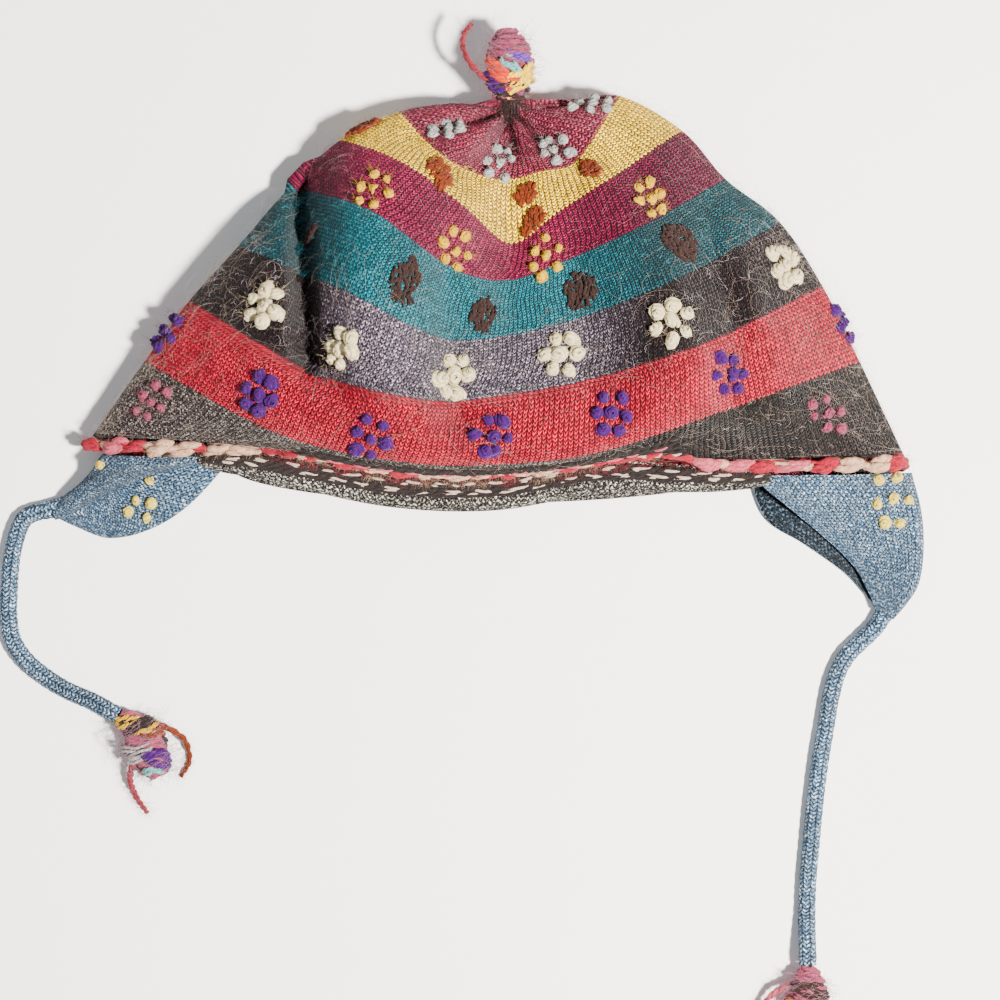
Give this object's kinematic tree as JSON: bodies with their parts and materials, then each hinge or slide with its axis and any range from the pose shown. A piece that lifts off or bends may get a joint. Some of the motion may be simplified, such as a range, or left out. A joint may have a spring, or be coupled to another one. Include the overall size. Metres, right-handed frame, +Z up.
{
  "type": "chullo hat",
  "caption": "Knitted winter hat with ear flaps, round ties and yarn tassels, lying flat on its back with its opening towards the viewer.",
  "frame": {"origin": "on the table under the middle of the hat's back wall, where it rests", "axes": "+Z up from the table through the hat's flattened thickness, +Y from the open rim towards the gathered top, +X towards the ear flap on the right as seen from above"},
  "size_m": [0.3173, 0.3476, 0.0552],
  "materials": {
    "striped_wool": "knitted, fuzzy, matt",
    "edging_yarn": "thick twisted yarn, matt",
    "marled_wool": "marled knit, matt",
    "denim_wool": "heathered knit, matt",
    "tassel_yarn": "loose yarn, matt",
    "embroidery_yarn": "knotted yarn, matt"
  },
  "bodies": {
    "root": {"crown": "striped_wool", "edging": "edging_yarn", "hem_front": "marled_wool", "hem_back": "marled_wool", "ear_flap_left": "denim_wool", "ear_flap_right": "denim_wool", "tie_left": "denim_wool", "tie_right": "denim_wool", "crown_tassel": "tassel_yarn", "tassel_left": "tassel_yarn", "tassel_right": "tassel_yarn"}
  },
  "joints": []
}
